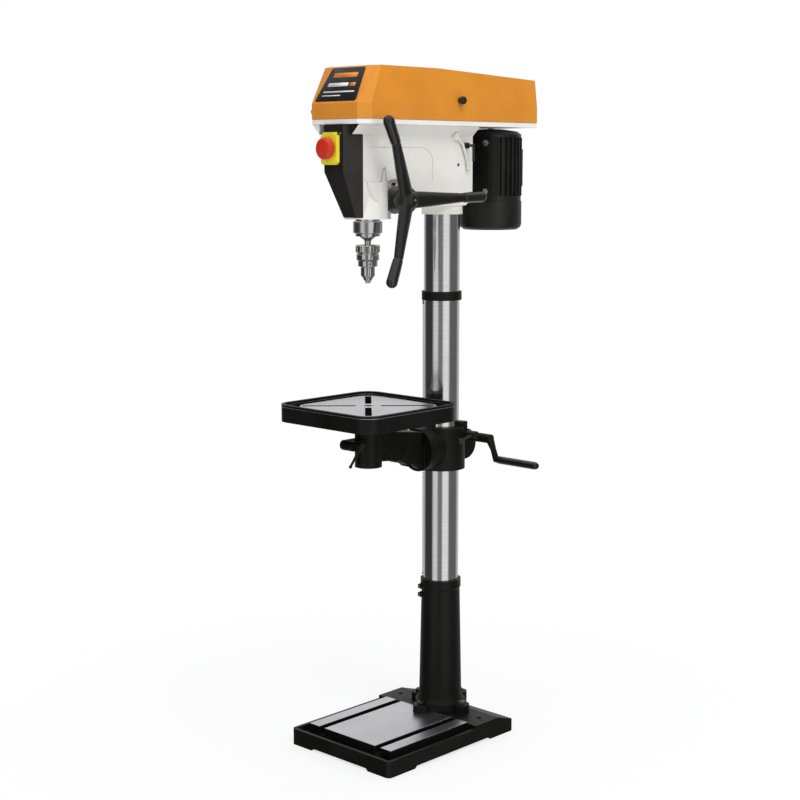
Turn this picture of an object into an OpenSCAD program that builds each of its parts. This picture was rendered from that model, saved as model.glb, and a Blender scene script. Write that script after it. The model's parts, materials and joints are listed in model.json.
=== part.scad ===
// Floor-standing belt-driven drill press, in millimetres.
// The origin is the centre of the base's footprint on the floor.
// +X is the operator's right, -Y the front where the operator stands, +Z up.

/* [Base] */
// Width of the base casting
base_w = 350; // [340:1:360]
// Depth of the base casting
base_d = 474; // [466:1:480]
// Height of the rim round the coolant trough
base_rim_h = 42; // [38:1:44]
// Height of the machined pads
base_pad_z = 53; // [51:0.5:56]
// Height of the rear deck under the column flange
base_deck_z = 50; // [48:0.5:50.5]

/* [Column] */
// Radius of the steel column
column_r = 46; // [45.5:0.1:46]
// Distance of the column axis behind the middle of the base
column_y = 140.6; // [140:0.1:141]
// Height of the top edge of the column support
support_top = 402; // [390:1:405]
// Height of the underside of the upper rack collar
collar_z = 1137; // [1130:1:1145]

/* [Head] */
// Distance from the column axis to the spindle axis
throat = 269.4; // [268.8:0.1:270]
// Half the width of the head casting
head_half_w = 55; // [55:0.1:56]
// Height of the head casting's top face
head_top = 1575; // [1574.8:0.1:1575]
// Travel of the quill
quill_travel = 80; // [60:1:80]

/* [Table] */
// Side of the square table
table_w = 330; // [326:1:332]
// Height of the top of the table's rim
table_top = 896; // [896:1:898]
// Height of the table's rim
table_rim_h = 43; // [42:0.5:43]
// Width of the slots in the table
table_slot_w = 16; // [12:1:18]

/* [Belt cover] */
// Height of the top of the belt cover, the highest point of the machine
cover_top = 1712; // [1705:1:1715]
// Half the width of the belt cover
cover_half_w = 101; // [101:0.5:104]
// Thickness of the cover's sheet steel
sheet = 2; // [1.5:0.1:2.5]

/* [Feed handle] */
// Radius at which the grips start
feed_arm_r = 157; // [150:1:160]
// Length of a grip
feed_grip_l = 74; // [66:1:78]

/* [Hidden] */
$fn = 64;

// Fits: a shaft turns or slides with fit, bodies that pass each other stay gap apart
fit = 0.05;
gap = 0.3;

spindle_y = column_y - throat;
idler_y = 100;
motor_y = 330;
motor_fin_r = 82;
flange_top = 72;
flange_bolt_r = 75;
column_foot_z = 60;
column_head_z = 1500;

// Feed pinion and the rack on the quill
gear_module = 2;
pinion_teeth = 13;
pinion_pitch_r = gear_module * pinion_teeth / 2;
tooth_pitch = PI * gear_module;
quill_r = 30;
quill_bottom = 1308;
quill_top = 1540;
feed_y = spindle_y + quill_r - gear_module + pinion_pitch_r + gap;
feed_z = 1396;
feed_angles = [1.5, 121.5, 241.5];
feed_grip_lean = atan2(8, 71);
dish_x = 42;

// Table elevation: rack on the column's left side, pinion, worm wheel and worm
rack_back_x = -column_r - gap;
rack_pitch_x = rack_back_x - 10;
rack_bottom = support_top + gap;
rack_top = collar_z - gap;
elevation_x = rack_pitch_x - pinion_pitch_r - gap;
elevation_z = 755;
worm_y = 200;
worm_z = 779;
wheel_teeth = 17;
bracket_bottom = 698;
bracket_top = 809;
sleeve_r = 62;

// Table and arm
table_bottom = table_top - table_rim_h;
table_pad_z = table_top - 6;
boss_r = 34;
boss_bottom = 737;
boss_top = 845;
stem_r = 22;
clamp_y = spindle_y - 56;
clamp_z = 798;
tilt_r = 55;
tilt_face_y = 66;

// Belt drive: four steps from bottom to top
step_h = 15;
pulley_z = 1590;
spindle_steps = [56, 48, 40, 32];
idler_steps = [32, 40, 48, 56];
groove_depth = 6.5;
belt_h = 9.2;

// Belt cover outline
pan_top = 1587;
cover_bottom = pan_top + gap;
cover_crease = 1624;
cover_front = -240;
cover_rear = 396;
cover_hinge_x = -cover_half_w - 6;
cover_hinge_z = pan_top;
hinge_places = [-120, 300];

// Switch
switch_x = 3;
switch_z = 1518;
panel_front = -243;

// Head, chuck and crank
nose_r = 57;
knee_z = 1463;
nose_bottom = 1350;
panel_chin_z = 1354;
panel_top = head_top - 0.5;
rod_x = 38;
rod_z = 1528;
crank_x = 112;
crank_drop = 51;
grip_x = 142;
jaw_r = 4.5;
jaw_lean = 15;
jaw_tip_z = 1194;
jaw_l = 40;

// ---------- helpers ----------

module block(low, high) {
    translate(low) cube(high - low);
}

module bar_x(r, x0, x1, y, z, r2 = -1) {
    translate([x0, y, z]) rotate([0, 90, 0]) cylinder(r1 = r, r2 = r2 < 0 ? r : r2, h = x1 - x0);
}

module bar_y(r, y0, y1, x, z) {
    translate([x, y0, z]) rotate([-90, 0, 0]) cylinder(r = r, h = y1 - y0);
}

module bar_z(r, z0, z1, x, y, r2 = -1) {
    translate([x, y, z0]) cylinder(r1 = r, r2 = r2 < 0 ? r : r2, h = z1 - z0);
}

module tube_z(r_out, r_in, z0, z1, x, y) {
    difference() {
        bar_z(r_out, z0, z1, x, y);
        bar_z(r_in, z0 - 1, z1 + 1, x, y);
    }
}

// Round rod between two points
module rod(p, q, r) {
    d = q - p;
    l = norm(d);
    translate(p)
        rotate([0, acos(d[2] / l), atan2(d[1], d[0])])
            cylinder(r = r, h = l);
}

module rounded_rect(w, d, r) {
    square([w - 2 * r, d], center = true);
    square([w, d - 2 * r], center = true);
    for (x = [-1, 1], y = [-1, 1])
        translate([x * (w / 2 - r), y * (d / 2 - r)]) circle(r);
}

// Side profile in (Y, Z), extruded from x0 to x1
module side_plate(points, x0, x1) {
    translate([x0, 0, 0]) rotate([90, 0, 90]) linear_extrude(x1 - x0) polygon(points);
}

// Front profile in (X, Z), extruded from y0 to y1
module front_plate(points, y0, y1) {
    translate([0, y1, 0]) rotate([90, 0, 0]) linear_extrude(y1 - y0) polygon(points);
}

module hex_bolt(r, l, head_r, head_h) {
    cylinder(r = r, h = l);
    translate([0, 0, l]) cylinder(r = head_r, h = head_h, $fn = 6);
}

function arc(c, r, a0, a1, n) =
    [for (i = [0:n]) c + r * [cos(a0 + (a1 - a0) * i / n), sin(a0 + (a1 - a0) * i / n)]];

// ---------- gears ----------

// Spur gear outline with straight-flanked teeth, thinner than half a pitch for backlash
module spur_outline(teeth, pitch_r, phase) {
    tooth = 360 / teeth;
    root_r = pitch_r - 1.25 * gear_module;
    tip_r = pitch_r + gear_module;
    circle(root_r + 0.05);
    for (i = [0:teeth - 1])
        rotate(i * tooth + phase)
            polygon([
                [root_r - 0.5, -0.26 * tooth_pitch], [pitch_r, -0.21 * tooth_pitch],
                [tip_r, -0.1 * tooth_pitch], [tip_r, 0.1 * tooth_pitch],
                [pitch_r, 0.21 * tooth_pitch], [root_r - 0.5, 0.26 * tooth_pitch]
            ]);
}

// Gap between two rack teeth, in (depth, height), mouth at depth 0
module rack_gap() {
    depth = 2.25 * gear_module;
    half_root = 0.16 * tooth_pitch;
    half_mouth = 0.42 * tooth_pitch;
    polygon([[-1, -half_mouth], [depth, -half_root], [depth, half_root], [-1, half_mouth]]);
}

// ---------- stand ----------

module base_casting() {
    wall = 9;
    trough_z = 26;
    pad_half = 145;
    pad_front = -200;
    pad_rear = 85;
    slot_in = 90;
    slot_out = 110;
    foot_h = 6;
    color("#15150f")
    difference() {
        union() {
            difference() {
                intersection() {
                    linear_extrude(base_pad_z + 5) rounded_rect(base_w, base_d, 12);
                    side_plate([
                        [-base_d / 2, 0], [base_d / 2, 0], [base_d / 2, 30], [175, base_deck_z],
                        [pad_rear, base_deck_z], [pad_rear, base_rim_h], [-base_d / 2, base_rim_h]
                    ], -base_w / 2, base_w / 2);
                }
                block([-base_w / 2 + wall, -base_d / 2 + wall, trough_z], [base_w / 2 - wall, pad_rear, 100]);
            }
            block([-pad_half, pad_front, 10], [pad_half, pad_rear + 0.01, base_pad_z]);
            // boss that carries the flange where the deck falls away
            translate([0, column_y, 20]) linear_extrude(base_deck_z - 20) flange_outline(-0.5);
        }
        for (x = [-slot_out, slot_in])
            block([x, pad_front - 1, 32], [x + slot_out - slot_in, pad_rear, 100]);
        // hollow underside, deeper under the middle pad
        block([-162, -224, -1], [162, 224, 14]);
        for (x = [-80, 3])
            block([x, -188, 0], [x + 77, 40, 40]);
        // feet are left at the corners
        front_plate([[-101, -1], [-101, 0], [-95, foot_h], [95, foot_h], [101, 0], [101, -1]], -300, 300);
        side_plate([[-143, -1], [-143, 0], [-137, foot_h], [137, foot_h], [143, 0], [143, -1]], -300, 300);
        for (x = [-1, 1]) bar_z(6, -1, 100, 141 * x, 136);
        // seat for the flange in the rear of the middle pad
        translate([0, column_y, base_deck_z]) linear_extrude(10) flange_outline(gap);
        for (a = [0:90:270])
            translate([0, column_y, 0]) rotate(a) bar_z(6 + fit, 25, 100, flange_bolt_r, 0);
    }
}

module flange_outline(more) {
    lug_half_w = 20;
    circle(66 + more);
    for (a = [0:90:270]) rotate(a) {
        translate([0, -lug_half_w - more]) square([flange_bolt_r, 2 * (lug_half_w + more)]);
        translate([flange_bolt_r, 0]) circle(21.4 + more);
    }
}

module column_support() {
    top_r = 50.5;
    foot_r = 56;
    color("#15150f")
    difference() {
        translate([0, column_y, 0]) union() {
            translate([0, 0, base_deck_z]) linear_extrude(flange_top - base_deck_z) flange_outline(0);
            rotate_extrude() polygon([
                [0, flange_top - 2], [64, flange_top - 2], [60, flange_top + 5], [foot_r + 1, flange_top + 14],
                [foot_r, flange_top + 30], [top_r, support_top - 26], [top_r + 2.5, support_top - 22],
                [top_r + 2.5, support_top], [0, support_top]
            ]);
            // bosses for the two set screws
            rotate(-127.5)
                for (z = [380, 358]) bar_x(8, 40, 55.5, 0, z);
        }
        bar_z(column_r + fit, column_foot_z, support_top + 1, 0, column_y);
        bar_z(column_r - 8, base_deck_z - 1, support_top, 0, column_y);
        translate([0, column_y, 0]) {
            for (a = [0:90:270]) rotate(a) bar_z(6.5, 0, 100, flange_bolt_r, 0);
            rotate(-127.5)
                for (z = [380, 358]) bar_x(4 + fit, 40, 60, 0, z);
        }
    }
}

module flange_bolts() {
    color("#2a2a28")
    for (a = [0:90:270])
        translate([0, column_y, 0]) rotate(a)
            translate([flange_bolt_r, 0, flange_top - 40]) hex_bolt(6, 40, 10.5, 7.5);
}

// Screw that points at the column axis, its tip just off the tube
module radial_screw(angle, z, head_from) {
    translate([0, column_y, z]) rotate(angle) {
        bar_x(4, column_r + 0.02, head_from, 0, 0);
        translate([head_from, 0, 0]) rotate([0, 90, 0]) cylinder(r = 6, h = 5, $fn = 6);
    }
}

module column_set_screws() {
    color("#2c2c2c") {
        radial_screw(-127.5, 380, 55.5);
        radial_screw(-127.5, 358, 55.5);
        radial_screw(160, collar_z + 11.5, 51.6);
        for (a = [0, 180])
            translate([0, column_y, 1480]) rotate(a)
                difference() {
                    bar_x(4, column_r + 0.02, head_half_w - 0.5, 0, 0);
                    translate([head_half_w - 4, 0, 0]) rotate([0, 90, 0]) cylinder(r = 2.3, h = 5, $fn = 6);
                }
    }
}

module column() {
    color("#b9bcbc") tube_z(column_r, column_r - 4, column_foot_z, column_head_z, 0, column_y);
}

module rack_collar() {
    color("#191916")
    difference() {
        translate([0, column_y, 0]) rotate_extrude() polygon([
            [column_r + fit, collar_z], [50.5, collar_z], [51.5, collar_z + 1], [51.5, collar_z + 21.5],
            [50, collar_z + 23], [column_r + fit, collar_z + 23]
        ]);
        translate([0, column_y, 0]) rotate(160) bar_x(4 + fit, 40, 60, 0, collar_z + 11.5);
    }
}

// ---------- head ----------

module head_side_relief(side) {
    mirror([side < 0 ? 1 : 0, 0, 0])
        translate([head_half_w - 1, 0, 1522]) rotate([0, 1.2, 0])
            translate([0, 0, -1522]) {
                block([0, -200, 1440], [4, 8, 1522]);
                block([0, -200, 1440], [4, 46, 1484]);
                bar_x(38, 0, 4, 8, 1484);
            }
}

module head_casting() {
    color("#eeece6")
    difference() {
        union() {
            side_plate([
                [-199, knee_z], [-199, head_top], [195, head_top], [195, 1408], [186, 1388],
                [168, 1378], [spindle_y, 1378], [-160, 1400]
            ], -head_half_w, head_half_w);
            // chin behind the lower panel
            hull() {
                block([-head_half_w, -199, knee_z], [head_half_w, -150, knee_z + 0.1]);
                block([-32, -176, panel_chin_z], [32, -150, panel_chin_z + 0.1]);
            }
            bar_z(nose_r, nose_bottom, head_top, 0, spindle_y);
            bar_z(52.5, 1356, 1400, 0, column_y);
            // flare under the belt guard
            front_plate([
                [-79, head_top], [-head_half_w, head_top - 24], [head_half_w, head_top - 24], [79, head_top]
            ], -190, 195);
            for (x = [0, 1]) mirror([x, 0, 0])
                front_plate([
                    [head_half_w + gap, head_top - 24 + gap], [79, head_top], [head_half_w + gap, head_top]
                ], -236, -189);
            bar_x(36, -head_half_w - 3, -40, feed_y, feed_z);
        }
        bar_z(quill_r + fit, nose_bottom - 1, 1545, 0, spindle_y);
        bar_z(18 + fit, 1540, head_top + 1, 0, spindle_y);
        bar_z(column_r + fit, 1350, column_head_z, 0, column_y);
        bar_z(column_r - 8, column_head_z - 1, 1530, 0, column_y);
        // gear and wiring space, open at the top under the belt guard
        block([-47, -80, 1448], [47, 80, head_top + 1]);
        bar_x(15 + fit, -60, 60, feed_y, feed_z);
        bar_x(43, dish_x, head_half_w + 0.01, feed_y, feed_z, 52);
        for (x = [-1, 1]) {
            bar_y(8 + fit, 70, 200, x * rod_x, rod_z);
            head_side_relief(x);
        }
        bar_x(4 + fit, -60, 60, column_y, 1480);
        bar_x(4.2, -60, -40, 60, 1500);
        bar_x(6 + fit, 45, 60, 124, 1550);
        bar_x(5 + fit, 44, 60, 165, rod_z);
        bar_x(10 + gap, head_half_w, 90, 124, 1550);
        bar_z(8 + fit, 1560, head_top + 1, 0, idler_y);
        for (x = [-1, 1], y = [-60, 180])
            bar_z(3 + fit, 1555, head_top + 1, x * 50, y);
    }
}

module panel_prism(inset) {
    linear_extrude(panel_top - knee_z)
        polygon([
            [-head_half_w + inset, -199], [-32 + inset / 2, panel_front + inset],
            [32 - inset / 2, panel_front + inset], [head_half_w - inset, -199]
        ]);
}

module panel_chin(inset) {
    hull() {
        translate([0, 0, knee_z]) linear_extrude(0.01)
            polygon([
                [-head_half_w + inset, -199.05], [-32 + inset / 2, panel_front + inset],
                [32 - inset / 2, panel_front + inset], [head_half_w - inset, -199.05]
            ]);
        translate([0, 0, panel_chin_z + inset]) linear_extrude(0.01)
            polygon([[-32 + inset, -176.05], [-21, -190 + inset], [21, -190 + inset], [32 - inset, -176.05]]);
    }
}

module front_panel() {
    color("#2a2624")
    difference() {
        union() {
            translate([0, 0, knee_z]) panel_prism(0);
            panel_chin(0);
        }
        translate([0, 0, knee_z + 3]) linear_extrude(99)
            polygon([[-49, -198], [-29.5, panel_front + 3.5], [29.5, panel_front + 3.5], [49, -198]]);
        bar_z(nose_r + fit, nose_bottom - 1, knee_z, 0, spindle_y);
        // opening for the switch
        block([switch_x - 22, panel_front - 1, switch_z - 32], [switch_x + 22, panel_front + 5, switch_z + 32]);
    }
}

// ---------- belt guard ----------

// Outline of the belt cover, grown inwards by inset
module cover_outline(inset) {
    k = inset * 0.41;
    polygon([
        [-77 + k, cover_front + inset], [77 - k, cover_front + inset],
        [cover_half_w - inset, -215 + k], [cover_half_w - inset, cover_rear - inset],
        [-cover_half_w + inset, cover_rear - inset], [-cover_half_w + inset, -215 + k]
    ]);
}

module belt_guard_pan() {
    rim = 5;
    color("#eeece6")
    difference() {
        union() {
            translate([0, 0, head_top]) linear_extrude(3) cover_outline(3);
            translate([0, 0, head_top]) linear_extrude(pan_top - head_top)
                difference() {
                    cover_outline(1);
                    cover_outline(rim + sheet);
                }
            translate([0, 0, head_top + 2]) linear_extrude(20)
                difference() {
                    cover_outline(rim);
                    cover_outline(rim + sheet);
                }
            for (y = hinge_places, k = [-1, 1]) {
                bar_y(4, y + k * 21 - 10, y + k * 21 + 10, cover_hinge_x, cover_hinge_z);
                block([cover_hinge_x, y + k * 21 - 10, cover_hinge_z - 4],
                    [-96, y + k * 21 + 10, cover_hinge_z - 1.5]);
            }
        }
        for (y = hinge_places)
            bar_y(2 + fit, y - 40, y + 40, cover_hinge_x, cover_hinge_z);
        bar_z(24, head_top - 1, head_top + 20, 0, spindle_y);
        bar_z(8 + fit, head_top - 1, head_top + 20, 0, idler_y);
        block([-14, motor_y - 26, head_top - 1], [14, motor_y + 14, head_top + 20]);
        for (x = [-1, 1], y = [-60, 180])
            bar_z(3 + fit, head_top - 1, head_top + 20, x * 50, y);
    }
}

module cover_hinge_pins() {
    color("#c8c8c8")
    for (y = hinge_places) {
        bar_y(2, y - 33, y + 33, cover_hinge_x, cover_hinge_z);
        for (k = [-1, 1])
            translate([cover_hinge_x, y + k * 33, cover_hinge_z]) sphere(3);
    }
}

// Upper part of the cover: leans in above the crease, slopes at the front and the rear
module cover_hood(inset) {
    side_high = cover_half_w - 7 - inset;
    top = cover_top - inset;
    hull() {
        translate([0, 0, cover_crease]) linear_extrude(0.01) cover_outline(inset);
        translate([0, 0, top - 0.01]) linear_extrude(0.01)
            polygon([
                [-60, -187 + inset], [60, -187 + inset], [side_high, -178 + 0.8 * inset], [side_high, 23],
                [-side_high, 23], [-side_high, -178 + 0.8 * inset]
            ]);
        block([-side_high - 1, cover_rear - 4 - inset, 1690], [side_high + 1, cover_rear - 3 - inset, 1696 - inset]);
    }
}

module belt_cover() {
    color("#df9433")
    difference() {
        union() {
            translate([0, 0, cover_bottom]) linear_extrude(cover_crease - cover_bottom) cover_outline(0);
            cover_hood(0);
            for (y = hinge_places) {
                bar_y(4, y - 10, y + 10, cover_hinge_x, cover_hinge_z);
                block([cover_hinge_x, y - 10, cover_hinge_z + 1.5], [-cover_half_w + 1, y + 10, cover_hinge_z + 4]);
            }
        }
        translate([0, 0, cover_bottom - 1]) linear_extrude(cover_crease - cover_bottom + 1.01)
            cover_outline(sheet);
        cover_hood(sheet);
        for (y = hinge_places)
            bar_y(2 + fit, y - 40, y + 40, cover_hinge_x, cover_hinge_z);
        bar_x(4 + fit, 90, 110, 93, 1637);
    }
}

module cover_knob() {
    color("#1c1c1a")
    translate([cover_half_w - 0.7, 93, 1637]) rotate([0, 90, 0]) rotate_extrude()
        polygon([
            [0, -8], [4, -8], [4, 0.3], [7, 0.3], [7, 4], [9, 7], [10, 11], [9.5, 15], [7, 17.5], [0, 18]
        ]);
}

// Step pulley on the Z axis at y, the steps listed from the bottom up
module step_pulley(steps, y, bore_r, hub_z0, hub_r) {
    profile = [for (i = [0:3])
        let (r = steps[i], z = pulley_z + i * step_h)
        each [
            [r, z], [r, z + 2], [r - groove_depth, z + 2.6],
            [r - groove_depth, z + step_h - 2.6], [r, z + step_h - 2], [r, z + step_h]
        ]
    ];
    translate([0, y, 0])
    difference() {
        union() {
            rotate_extrude()
                polygon(concat([[bore_r, pulley_z]], profile, [[bore_r, pulley_z + 4 * step_h]]));
            tube_z(hub_r, bore_r, hub_z0, pulley_z + 1, 0, 0);
        }
        for (a = [45:90:315])
            rotate(a) bar_z(4.5, pulley_z - 1, pulley_z + 4 * step_h + 1, hub_r + (26 - hub_r) / 2 + 1, 0);
    }
}

module spindle_pulley() {
    color("#b8b8b4") step_pulley(spindle_steps, spindle_y, 9.5, 1546, 18);
}

module idler_pulley() {
    color("#b8b8b4") step_pulley(idler_steps, idler_y, 8 + fit, 1583, 14);
}

module motor_pulley() {
    color("#b8b8b4") step_pulley(spindle_steps, motor_y, 7, 1582, 13);
}

module idler_post() {
    color("#7c7c78")
    translate([0, idler_y, 0]) {
        bar_z(8, 1562, 1656, 0, 0);
        bar_z(19, head_top + 3, 1582.5, 0, 0);
        bar_z(11, 1650 + gap, 1655, 0, 0);
    }
}

// Closed belt loop round two pulleys, r1 at y1 and r2 at y2
function belt_loop(y1, r1, y2, r2) =
    let (s = asin((r1 - r2) / (y2 - y1)))
    concat(arc([0, y1], r1, s, -180 - s, 22), arc([0, y2], r2, 180 - s, s, 22));

module belt(y1, r1, y2, r2, step) {
    thick = 5.6;
    translate([0, 0, pulley_z + step * step_h + (step_h - belt_h) / 2])
        linear_extrude(belt_h)
            difference() {
                polygon(belt_loop(y1, r1 - gap, y2, r2 - gap));
                polygon(belt_loop(y1, r1 - gap - thick, y2, r2 - gap - thick));
            }
}

module spindle_belt() {
    color("#202020") belt(spindle_y, spindle_steps[0], idler_y, idler_steps[0], 0);
}

module motor_belt() {
    color("#202020") belt(idler_y, idler_steps[3], motor_y, spindle_steps[3], 3);
}

// ---------- return spring, on the left of the feed shaft ----------

module spring_housing() {
    color("#d8d6d0")
    difference() {
        bar_x(33, -85, -58, feed_y, feed_z);
        bar_x(30, -82, -57, feed_y, feed_z);
        bar_x(10 + gap, -90, -50, feed_y, feed_z);
    }
}

module spring_nuts() {
    color("#8a8a86")
    for (x = [-99.8, -93.9])
        difference() {
            translate([x, feed_y, feed_z]) rotate([0, 90, 0]) cylinder(r = 11, h = 5.7, $fn = 6);
            bar_x(6 + fit, x - 1, x + 7, feed_y, feed_z);
        }
}

function spiral(r0, r1, turns, n, side) =
    [for (i = [0:n])
        let (a = 360 * turns * i / n, r = r0 + (r1 - r0) * i / n + side)
        r * [cos(a), sin(a)]];

module return_spring() {
    steps = 72;
    outer = spiral(12.5, 28.6, 4, steps, 0.45);
    inner = spiral(12.5, 28.6, 4, steps, -0.45);
    color("#5a5a60")
    translate([-78, feed_y, feed_z]) rotate([0, 90, 0])
        linear_extrude(16)
            polygon(concat(outer, [for (i = [0:steps]) inner[steps - i]]));
}

// ---------- switch ----------

module switch_base() {
    color("#f5e63c")
    difference() {
        union() {
            block([switch_x - 27, panel_front - 9, switch_z - 38], [switch_x + 27, panel_front, switch_z + 38]);
            block([switch_x - 21.5, panel_front, switch_z - 31.5], [switch_x + 21.5, panel_front + 28, switch_z + 31.5]);
        }
        block([switch_x - 23, panel_front - 10, switch_z - 30], [switch_x + 23, panel_front - 3, switch_z + 30]);
        for (z = [-15, 15])
            bar_y(8 + fit, panel_front - 20, panel_front + 12, switch_x, switch_z + z);
        bar_x(2 + fit, switch_x - 40, switch_x + 40, panel_front - 6, switch_z + 35);
        block([switch_x - 20, panel_front - 10, switch_z + 31.5], [switch_x + 20, panel_front - 2, switch_z + 39]);
    }
}

module switch_flap() {
    front = panel_front - 19;
    back = panel_front - 9 - gap;
    color("#f5e63c")
    difference() {
        union() {
            block([switch_x - 27, front, switch_z - 38], [switch_x + 27, back, switch_z + 31]);
            block([switch_x - 19.7, front, switch_z + 30], [switch_x + 19.7, back, switch_z + 38]);
            block([switch_x - 19.7, back - 1, switch_z + 33], [switch_x + 19.7, panel_front - 4, switch_z + 37]);
            bar_x(2, switch_x - 26, switch_x + 26, panel_front - 6, switch_z + 35);
        }
        block([switch_x - 24, front + 3, switch_z - 35], [switch_x + 24, back + 1, switch_z + 28]);
        bar_y(9 + fit, front - 1, back + 1, switch_x, switch_z);
        for (x = [-1, 1])
            translate([switch_x + x * 27, front - 1, switch_z - 38]) rotate([0, 45, 0])
                cube([9, 30, 9], center = true);
    }
}

module stop_mushroom() {
    color("#c83420")
    translate([switch_x, panel_front, switch_z]) rotate([90, 0, 0]) rotate_extrude()
        polygon([
            [0, 9.5], [13, 9.5], [13, 12], [9, 12], [9, 24], [25, 24], [26.5, 27], [26.5, 33],
            [25, 37], [21, 40], [12, 42], [0, 42.6]
        ]);
}

module push_button(z) {
    translate([switch_x, panel_front, switch_z + z]) rotate([90, 0, 0]) rotate_extrude()
        polygon([[0, -8], [8, -8], [8, 4], [7.2, 5], [0, 5]]);
}

module start_button() {
    color("#2f9e44") push_button(15);
}

module stop_button() {
    color("#b82a1c") push_button(-15);
}

module cable_gland() {
    color("#1c1c1a")
    translate([-head_half_w, 60, 1500]) rotate([0, -90, 0]) {
        difference() {
            union() {
                cylinder(r = 11, h = 5, $fn = 6);
                translate([0, 0, 5]) cylinder(r1 = 10, r2 = 6.5, h = 12);
            }
            translate([0, 0, 4]) cylinder(r = 4.2, h = 20);
        }
    }
}

// ---------- table elevation ----------

module table_rack() {
    first = floor((rack_bottom - elevation_z) / tooth_pitch) + 2;
    last = floor((rack_top - elevation_z) / tooth_pitch) - 2;
    tip_x = rack_pitch_x - gear_module;
    color("#3a3a38")
    difference() {
        block([tip_x, column_y - 10, rack_bottom], [rack_back_x, column_y + 10, rack_top]);
        for (i = [first:last])
            translate([tip_x, column_y + 11, elevation_z + i * tooth_pitch])
                rotate([90, 0, 0]) linear_extrude(22) rack_gap();
    }
}

module table_bracket() {
    housing_r = 40;
    color("#15150f")
    difference() {
        union() {
            bar_z(sleeve_r, bracket_bottom, bracket_top, 0, column_y);
            bar_y(tilt_r, tilt_face_y, 100, 0, elevation_z);
            bar_x(housing_r, -98, 34, worm_y - 1, elevation_z + 2);
            block([-98, column_y - 18, elevation_z - 36], [-40, worm_y, elevation_z + 40]);
            bar_x(19, 0, 52, 165, clamp_z - 6);
            block([34, 158, 800], [58, 178, 822]);
            bar_x(14, 30, 42, worm_y, worm_z);
        }
        bar_z(column_r + fit, 600, 900, 0, column_y);
        // channel for the rack and pocket for the pinion
        block([rack_pitch_x - 3, column_y - 10.5, 600], [-30, column_y + 10.5, 900]);
        bar_y(16, column_y - 13, column_y + 13, elevation_x, elevation_z);
        bar_y(6 + fit, column_y - 17, worm_y + 60, elevation_x, elevation_z);
        // worm wheel chamber, open at the rear for assembly
        bar_y(20, worm_y - 7, worm_y + 60, elevation_x, elevation_z);
        bar_x(9.5, elevation_x - 22, elevation_x + 26, worm_y, worm_z);
        bar_x(6 + fit, elevation_x - 22, 50, worm_y, worm_z);
        bar_y(8 + fit, tilt_face_y - 1, 93, 0, elevation_z);
        bar_x(6 + fit, 20, 80, 165, clamp_z - 6);
    }
}

module tilt_bolt() {
    color("#8c8c88") {
        bar_y(8, 28, 92, 0, elevation_z);
        translate([0, 34, elevation_z]) rotate([-90, 0, 0]) cylinder(r = 13.8, h = 10, $fn = 6);
        bar_y(17, 44, 46 - gap, 0, elevation_z);
    }
}

module elevation_gear() {
    color("#6c6c68") {
        translate([elevation_x, column_y, elevation_z]) rotate([90, 0, 0])
            translate([0, 0, -9.5]) linear_extrude(19) spur_outline(pinion_teeth, pinion_pitch_r, 0);
        bar_y(6, column_y - 16, worm_y + 14, elevation_x, elevation_z);
        translate([elevation_x, worm_y + 2.5, elevation_z]) rotate([90, 0, 0])
            linear_extrude(5) spur_outline(wheel_teeth, wheel_teeth * gear_module / 2 - 2.7, 0);
        bar_y(11, worm_y + 2.5, worm_y + 12, elevation_x, elevation_z);
    }
}

// Single-start worm: a round bar swept round the axis off centre
module worm_shaft() {
    core_r = 6;
    worm_l = 36;
    color("#8c8c88") {
        bar_x(core_r, elevation_x - 21, 92, worm_y, worm_z);
        translate([elevation_x - worm_l / 2, worm_y, worm_z]) rotate([0, 90, 0])
            linear_extrude(worm_l, twist = -360 * worm_l / tooth_pitch, slices = 72, $fn = 16)
                translate([1.2, 0]) circle(6.4);
    }
}

module table_crank() {
    color("#1a1a18")
    difference() {
        union() {
            bar_x(12, 44, crank_x + 8, worm_y, worm_z);
            hull() {
                translate([crank_x, worm_y, worm_z]) rotate([0, 90, 0]) cylinder(r = 11, h = 8, $fn = 32);
                translate([grip_x - 14, worm_y, worm_z - 26]) sphere(7.5, $fn = 32);
            }
            hull() {
                translate([grip_x - 14, worm_y, worm_z - 26]) sphere(7.5, $fn = 32);
                translate([grip_x - 8, worm_y, worm_z - crank_drop]) rotate([0, 90, 0])
                    cylinder(r = 8, h = 7, $fn = 32);
            }
            bar_x(4, grip_x - 4, grip_x + 128, worm_y, worm_z - crank_drop);
        }
        bar_x(6 + fit, 40, 92.5, worm_y, worm_z);
        translate([60, worm_y, worm_z]) cylinder(r = 3, h = 30);
    }
}

module crank_grip() {
    color("#161614")
    difference() {
        translate([grip_x, worm_y, worm_z - crank_drop]) rotate([0, 90, 0]) rotate_extrude()
            polygon([
                [0, 0.3], [8, 0.3], [9.6, 2.5], [10, 12], [10, 118], [9.4, 127], [6.5, 132], [0, 133.5]
            ]);
        bar_x(4 + fit, grip_x - 1, grip_x + 128.5, worm_y, worm_z - crank_drop);
    }
}

module bracket_lock_lever() {
    hub_x = 74;
    color("#1a1a18") {
        bar_x(6, 47, hub_x + 1, 165, clamp_z - 6);
        bar_x(9.5, hub_x, hub_x + 26, 165, clamp_z - 6);
        rod([hub_x + 16, 165, clamp_z - 6], [hub_x + 16, 116, clamp_z - 16], 3);
        translate([hub_x + 16, 113, clamp_z - 16.5]) sphere(6.5);
    }
}

// ---------- table ----------

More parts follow.
